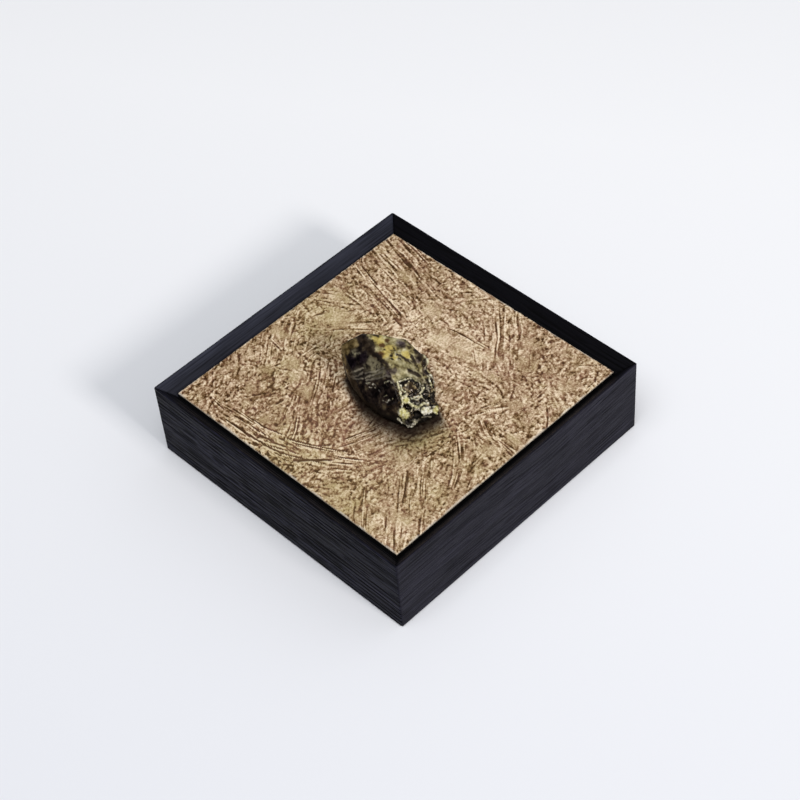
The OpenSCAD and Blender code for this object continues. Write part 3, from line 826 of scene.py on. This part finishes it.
def relaxed(values, edges, rounds):
    """Values at the vertices, evened out along the edges."""
    count = np.bincount(edges.ravel(), minlength=len(values))[:, None]
    for _ in range(rounds):
        total = np.zeros_like(values)
        for here, there in (edges.T, edges.T[::-1]):
            np.add.at(total, here, values[there])
        values = 0.5 * values + 0.5 * total / count
    return values


def distances(points, centre):
    return np.linalg.norm(points - np.array(centre[:3]), axis=1)


def from_line(points, normals, line):
    """Distance of each point from a line, mostly measured along the surface."""
    best = np.full(len(points), np.inf)
    for a, b in zip(line[:-1], line[1:]):
        a, along = np.array(a), np.array(b) - np.array(a)
        t = np.clip((points - a) @ along / (along @ along), 0, 1)
        apart = points - a - t[:, None] * along
        depth = (apart * normals).sum(1)
        squared = (apart * apart).sum(1) - DEPTH_LEFT_OUT * depth * depth
        best = np.minimum(best, np.sqrt(np.maximum(squared, 0)))
    return best


def cracks(points, size, seed):
    """Two masks of a cell pattern: how near its cell's middle each point is, and how near an edge."""
    cell = np.floor(points / size).astype(np.int64)
    nearest = second = np.full(len(points), np.inf)
    for step in itertools.product((-1, 0, 1), repeat=3):
        corner = cell + step
        jitter = np.stack([lattice(*(corner + 1000).T, seed + k) for k in range(3)], -1)
        d = np.linalg.norm((corner + jitter) * size - points, axis=1)
        second = np.minimum(second, np.maximum(nearest, d))
        nearest = np.minimum(nearest, d)
    return 1 - smooth(0.2, 0.9, nearest / size), 1 - smooth(0.0, 0.35, (second - nearest) / size)


def graded(values, stops):
    """Colours between the stops of {value: (r, g, b)}."""
    return np.stack([np.interp(values, list(stops), channel) for channel in zip(*stops.values())], -1)


# The stone's surface before its relief, and the noises that are read on it

even, normals, edges, faces = remeshed("knob_stone", STONE_VOXEL)
free = smooth(*FREE, even[:, 2] - STONE_FOOT)
even = even + free[:, None] * (relaxed(even, edges, 8) - even)
normals = relaxed(normals, edges, 10)
normals /= np.linalg.norm(normals, axis=1)[:, None]


def rough(size, seed):
    return noise(seed, *(even.T / size))


def cloudy(size, seed, octaves=3):
    return fbm(seed, *(even.T / size), octaves=octaves)


warp = np.stack([cloudy(2.2, seed, 2) for seed in (91, 93, 95)], -1)
where = even + 0.9 * warp
wander = 1 + 0.45 * rough(1.4, 140)
blur = 0.35 * cloudy(1.6, 123, 2)
ragged = blur + 0.3 * cloudy(0.9, 126, 2)
middle, crack = cracks(where, 2.6, 12)


def low_end_mask(x, y, z):
    """1 at the lumpy low end, with an uneven border."""
    past_edge = 0.8 * (x + 14) - 0.6 * (y + 15.5) + 0.8 * fbm(2, y / 3, z / 3)
    border = y + 0.45 * np.maximum(x + 8, 0) + 1.2 * fbm(4, x / 3, z / 3)
    return smooth(-0.5, 1.0, past_edge) * smooth(-15, -17.5, border)


def traces(points, lines, warped, widen=1):
    """Paleness of the lines at each point; their courses are warped and their widths wander."""
    pale = np.zeros(len(points))
    for line, width, paleness in lines:
        away = from_line(points + warped * warp, normals, line) / (width * (widen * wander))
        pale = np.maximum(pale, paleness * np.exp(-(away**4)))
    return pale


# The stone's relief

low_end = low_end_mask(*even.T)
move = 0.45 * cloudy(9, 101) + 0.12 * cloudy(2.4, 104)
move += low_end * (0.55 * middle - 0.65 * crack + 0.2 * cloudy(1.5, 107))
sunk = np.zeros(len(even))
for form in FORMS:
    away = distances(where, form) / form[3]
    move = move * smooth(0.2, 1.1, away) + form[4] * np.clip(1 - away * away, 0, 1)
    if form[4] < 0:
        sunk = np.maximum(sunk, 1 - smooth(0.45, 1.0, away))
# The cream rims and the painted glints, which also raise the relief a little
rims_and_glints = np.maximum(
    traces(even, RIMS, 0.4, 1.45), traces(even, GLINTS, 0.6, 1.5) * smooth(-0.35, 0.25, rough(1.1, 145))
)
veins = traces(even, VEINS, 0.5)
move += 0.4 * rims_and_glints + 0.15 * veins
stone = even + normals * (move * free)[:, None]
stone[:, 2] = np.clip(stone[:, 2], STONE_FOOT, STONE_TOP)

# The stone's colours


def spots(places, edge=0.22, blur=blur):
    """1 within the round places, with an uneven edge."""
    near = np.zeros(len(stone))
    for place in places:
        near = np.maximum(near, 1 - smooth(1 - edge, 1 + edge, distances(stone, place) / place[3] + blur))
    return near


fine = rough(0.8, 150)
cloud = 0.5 + 0.5 * cloudy(2.8, 153, 4)
broad = 0.5 + 0.5 * cloudy(4, 157, 2)
# The top is painted olive where its faces turn up towards the lamps: partly the stone's own colour, partly
# painted light
up = normals @ np.array((0.3, -0.22, 0.93))
light = smooth(0.82, 0.9, up + 0.05 * cloudy(2.4, 120)) * (1 - low_end)
light = np.maximum(light, spots(PALE_TOP))
gold = spots(YELLOW, 0.35) * smooth(0.25, 0.5, cloud + 0.1 * fine)
stripes = traces(stone, [(line, 0.6, 1) for line in STRIPES], 0.8)
below = [([(x, y, z - 1.1) for x, y, z in line], 0.45, 1) for line in STRIPES]
places = stone[np.random.default_rng(5).integers(0, len(stone), LOOSE_DOTS)]
sizes = np.random.default_rng(6).uniform(0.3, 0.8, LOOSE_DOTS)
dots = np.column_stack([places, sizes])
pebbles = spots(PALE_CRUST, 0.4, ragged) * smooth(0.15, 0.55, middle + 0.15 * fine)
yellow, white_and_highlight = spots(YELLOW_LUMPS, 0.3), spots(WHITE_LUMPS, 0.3)
# Painted shade: the stone is painted near black towards its foot, under its overhang; the same mask roughens
# its polish there
foot = smooth(11, 3, even[:, 2] - STONE_FOOT) * (1 - rims_and_glints)
foot = foot * (1 - np.maximum(yellow, white_and_highlight)) * (1 - 0.8 * pebbles)
# Each coat over what lies below it: how much it covers, its colour or colours, and the noise that they follow
COATS = (
    (spots(OLIVE_FACET), OLIVE, cloud),
    (0.7 * spots(STRIPE_BED, 0.4), BED, broad),
    (spots(MOTTLED, 0.4) * smooth(0.2, 0.46, cloud + 0.06 * fine), MOTTLE, 0.4 * cloud + 0.6 * broad),
    (0.85 * spots(NIGHT, 0.4), NIGHT_BLACK, cloud),
    (0.9 * stripes, STRIPE_GREY, broad),
    (0.4 * traces(stone, below, 0.8) * (1 - stripes), STRIPE_SHADOW),
    (light, TOP_OLIVE_LIT, cloud + 0.08 * fine),
    (gold * np.maximum(light, 0.6), GOLD, cloud),
    (0.75 * spots(RUST_SPOTS, 0.4, ragged), RUST),
    (0.9 * spots(DARK_SPOTS, 0.22, ragged), DARK, cloud),
    (0.65 * spots(VIOLET, 0.5), VIOLET_GREY, cloud),
    (0.92 * traces(stone, STREAKS, 0.9, 1.15), STREAK_BLACK, cloud),
    (0.8 * light * spots(dots), DOT_BROWN),
    (0.9 * veins, VEIN_OLIVE, cloud + 0.1 * fine),
    (low_end * (1 - veins), CRUST, cloud + 0.15 * fine),
    # Black in the sunken cracks of the crust: partly its dark filling, partly painted shade
    (1.2 * low_end * crack * (1 - veins), CRACK_SHADE_BLACK),
    (0.9 * pebbles, PEBBLE_WHITE, cloud),
    (spots(EYE_MIDDLE, 0.35), EYE_BROWN, cloud + 0.2 * fine),
    (traces(stone, [(EYE_RING, 0.85, 1)], 0.4), RING_BLACK),
    # Painted shade: the sunk hollows of the low end are painted black
    (0.95 * sunk * (low_end > 0.3), HOLLOW_SHADE_BLACK),
    (spots(EYE_DOTS), DOT_CREAM_HIGHLIGHT),
    # Cream rims, with the painted glints of the flank and of the right-hand edge
    (rims_and_glints * (0.95 + 0.3 * fine), CREAM, cloud + 0.15 * fine),
    (yellow, LUMP_YELLOW, cloud + 0.2 * fine),
    (white_and_highlight, LUMP_WHITE_HIGHLIGHT, cloud + 0.2 * fine),
    (0.92 * foot, FOOT_SHADE_BLACK),
)
colour = graded(cloud, BLACK_FLANK)
for cover, tint, *cloudiness in COATS:
    tint = graded(*cloudiness, tint) if cloudiness else np.array(tint)
    colour = colour + np.clip(cover, 0, 1)[:, None] * (tint - colour)


def jasper_material():
    """Polish over the painted colours, with fine flecks in its colour and gloss."""
    m = Nodes("polished_jasper")
    flecks = m.noise(m.coordinates(), 900.0, 4.0, 0.62, 0.4)
    polish = m.ramp(flecks, {0.35: 0.09, 0.7: 0.24})
    m.feed(
        Base_Color=m.mix(1.0, m.attribute("stain", "Color"), m.ramp(flecks, {0.3: 0.62, 0.7: 1}), "MULTIPLY"),
        Roughness=m.math("ADD", polish, m.math("MULTIPLY", m.attribute("rough"), 0.7), True),
        Normal=m.bump(flecks, 0.25, 0.06), Specular_IOR_Level=0.22, Specular_Tint=(1.0, 0.86, 0.74, 1.0),
    )
    return m.block


attributes = {"stain": np.clip(colour / 255, 0, 1) ** 2.2, "rough": foot}
piece("knob_stone", stone, faces, "lid", attributes, jasper_material())

# Finishes of the pieces whose solids stay as they are

# Radius in millimetres to which the edges are eased, colour, roughness, scale and strength of the speckles,
# specular level, metallic, and stretch of the speckles along each axis
SPECKLED = {
    "stained_board": (0.4, (22, 20, 21), 0.7, 260, 0.35, 0.15, 0, (0.3, 1, 4)),
    "beech_tongue": (0.3, (186, 150, 112), 0.6, 500, 0.15, 0.3, 0, (1, 1, 0.1)),
    "base_ply": (0.3, (44, 41, 42), 0.65, 420, 0.4, 0.15, 0, (0.06, 1, 1)),
    "rubber": (0.8, (30, 30, 31), 0.75, 1500, 0.2, 0.25, 0, (1, 1, 1)),
    "brass": (0.15, (200, 160, 90), 0.3, 900, 0.1, 0.5, 1, (1, 1, 1)),
    "steel": (0.15, (180, 180, 182), 0.35, 900, 0.1, 0.5, 1, (1, 1, 1)),
}
FLOCK_EASED = 0.5
EASED_ANGLE = 40


def speckled(name, colour, roughness, scale, amount, specular, metallic, stretch):
    """A finish whose colour, gloss and surface vary together with one noise."""
    m = Nodes(name)
    speckle = m.noise(m.mapped(m.coordinates(), stretch), scale, 4.0, 0.62)
    dark, light = (tuple(min(255, int(c * (1 + change))) for c in colour) for change in (-amount, amount))
    m.feed(
        Base_Color=m.ramp(speckle, {0.3: dark, 0.7: light}),
        Roughness=m.ramp(speckle, {0.3: min(1.0, roughness * 1.15), 0.7: roughness * 0.9}),
        Normal=m.bump(speckle, 0.4, 0.1), Specular_IOR_Level=specular, Metallic=metallic,
    )
    return m.block


def flock_material():
    """Short nylon pile: fine fibres, a soft nap that leans in patches, and a pale sheen at grazing angles."""
    m = Nodes("flock")
    fibre = m.noise(m.coordinates(), 3800.0, 2.0, 0.7)
    nap = m.noise(m.coordinates(), 45.0, 3.0, 0.5)
    tone = m.weighed((fibre, 0.7), (nap, 0.3))
    m.feed(
        Base_Color=m.ramp(tone, {0.36: (38, 35, 38), 0.62: (74, 69, 73)}), Normal=m.bump(fibre, 0.9, 0.18),
        Roughness=0.95, Specular_IOR_Level=0.08, Sheen_Weight=0.35, Sheen_Roughness=0.45,
    )
    return m.block


finishes = {name: (eased, speckled(name, *values)) for name, (eased, *values) in SPECKLED.items()}
finishes["flock"] = (FLOCK_EASED, flock_material())
for part in frame["record"]["subparts"]:
    if part["material_slot"] in finishes:
        eased, material = finishes[part["material_slot"]]
        node = frame["nodes"][part["node"]]
        node.data.materials.clear()
        node.data.materials.append(material)
        ease = node.modifiers.new("eased", "BEVEL")
        ease.width, ease.segments = eased * MM, 3
        ease.limit_method, ease.angle_limit = "ANGLE", math.radians(EASED_ANGLE)

# Studio: pale floor, a key from the front, a soft light overhead, and the camera of the photograph

CAMERA_AZIMUTH = 48.374
CAMERA_ELEVATION = 47.437
CAMERA_ROLL = -5.306
CAMERA_DISTANCE = 1.21606
CAMERA_LENS = 90.782
CAMERA_ASIDE = 0.0000442
CAMERA_ABOVE = -0.0222628
FLOOR_REACH = 4.0
WORLD_STRENGTH = 0.59
# The direction in which the studio is brightest
BRIGHT_SIDE = (0.6, -0.5, 0.62)


def add_camera():
    """A camera that looks at the middle of the box's footprint, moved a little off it and rolled."""
    az, el, roll = (math.radians(a) for a in (CAMERA_AZIMUTH, CAMERA_ELEVATION, CAMERA_ROLL))
    back = Vector((-math.cos(el) * math.cos(az), -math.cos(el) * math.sin(az), math.sin(el)))
    level = Vector((0, 0, 1)).cross(back).normalized()
    up = back.cross(level)
    right = level * math.cos(roll) + up * math.sin(roll)
    over = up * math.cos(roll) - level * math.sin(roll)
    camera = placed("camera", bpy.data.cameras.new("camera"))
    camera.data.lens, camera.data.sensor_width = CAMERA_LENS, 36
    camera.data.clip_start, camera.data.clip_end = 0.05, 50
    place = back * CAMERA_DISTANCE - right * CAMERA_ASIDE - over * CAMERA_ABOVE
    camera.matrix_world = Matrix.Translation(place) @ Matrix((right, over, back)).transposed().to_4x4()
    bpy.context.scene.camera = camera


def add_floor():
    """A square floor, painted paler towards the far right: partly its own colour, partly painted light that
    makes up for the lamps' falloff.
    """
    mesh = bpy.data.meshes.new("floor")
    corners = [(x * FLOOR_REACH, y * FLOOR_REACH, 0) for x, y in ((-1, -1), (1, -1), (1, 1), (-1, 1))]
    mesh.from_pydata(corners, [], [(0, 1, 2, 3)])
    floor = placed("floor", mesh)
    m = Nodes("floor")
    where = m.node("SeparateXYZ", Vector=m.coordinates()).outputs
    across = m.math("ADD", m.weighed((where["X"], 1.5), (where["Y"], 0.85)), 0.5)
    colour = m.ramp(across, {0.0: (232, 233, 238), 1.0: (252, 252, 254)})
    m.feed(Base_Color=colour, Roughness=0.9, Specular_IOR_Level=0.1)
    mesh.materials.append(m.block)


def add_area(name, direction, distance, size, power, colour):
    """A round lamp that faces the box from a direction."""
    light = placed(name, bpy.data.lights.new(name, "AREA"))
    light.data.shape, light.data.size = "DISK", size
    light.data.energy, light.data.color = power, colour
    light.location = Vector(direction).normalized() * distance
    light.rotation_mode = "QUATERNION"
    light.rotation_quaternion = light.location.to_track_quat("Z", "Y")


def add_world():
    """A pale studio that is brightest behind the key lamp and dim on the far side."""
    w = Nodes("studio", bpy.data.worlds, "Background")
    towards = w.node("VectorMath", operation="DOT_PRODUCT")
    w.give(towards.inputs[0], w.coordinates("Generated"))
    w.give(towards.inputs[1], Vector(BRIGHT_SIDE).normalized())
    bright = w.math("ADD", w.math("MULTIPLY", towards.outputs["Value"], 0.5), 0.5)
    colour = w.ramp(bright, {0.36: (0.09, 0.09, 0.1, 1), 1.0: (0.93, 0.96, 1.0, 1)})
    w.feed(Color=colour, Strength=WORLD_STRENGTH)
    bpy.context.scene.world = w.block


add_camera()
add_floor()
# Each lamp's direction from the box, distance, size, power and colour
add_area("key", (0.0, -0.835, 0.55), 4.0, 0.9, 73.0, (1.0, 0.965, 0.935))
add_area("fill", (-0.32, -0.13, 0.94), 3.0, 2.2, 45.5, (0.965, 0.985, 1.0))
add_world()
bpy.context.scene.view_settings.view_transform = "Standard"
